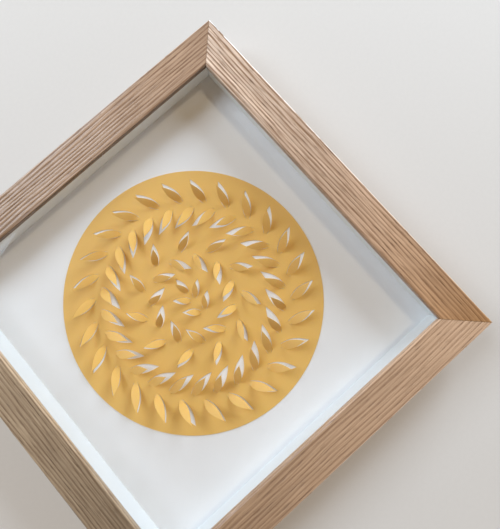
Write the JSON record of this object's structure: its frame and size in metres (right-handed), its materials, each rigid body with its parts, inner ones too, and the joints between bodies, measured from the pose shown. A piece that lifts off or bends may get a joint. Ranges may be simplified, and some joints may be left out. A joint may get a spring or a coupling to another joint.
{
  "type": "framed layered papercut",
  "caption": "Square oak-effect box frame with a cut and lifted yellow paper disc on white card behind glass, held off it by white spacers.",
  "frame": {"origin": "centre of the back face of the four rails, where the frame lies on a table", "axes": "+Z out of the glass, +Y towards the picture's top rail, +X towards its right rail"},
  "size_m": [0.232, 0.232, 0.032],
  "materials": {
    "oak_foil": "oak-effect foil with an embossed straight grain, satin",
    "clear_glass": "clear float glass, polished",
    "white_strip": "board strip faced with matt white paper",
    "white_card": "uncoated white mount card, lightly toothed",
    "yellow_paper": "uncoated golden yellow craft card, matt",
    "hardboard": "smooth-faced brown hardboard",
    "spring_steel": "bare spring steel, dull",
    "plated_steel": "zinc-plated pressed steel"
  },
  "bodies": {
    "root": {"rail_top": "oak_foil", "rail_right": "oak_foil", "rail_bottom": "oak_foil", "rail_left": "oak_foil", "glazing": "clear_glass", "spacer_top": "white_strip", "spacer_right": "white_strip", "spacer_bottom": "white_strip", "spacer_left": "white_strip", "mount_card": "white_card", "papercut_disc": "yellow_paper", "back_panel": "hardboard", "retaining_tabs": "spring_steel", "corner_v_nails": "spring_steel", "hanger": "plated_steel", "hanger_rivets": "plated_steel"}
  },
  "joints": []
}
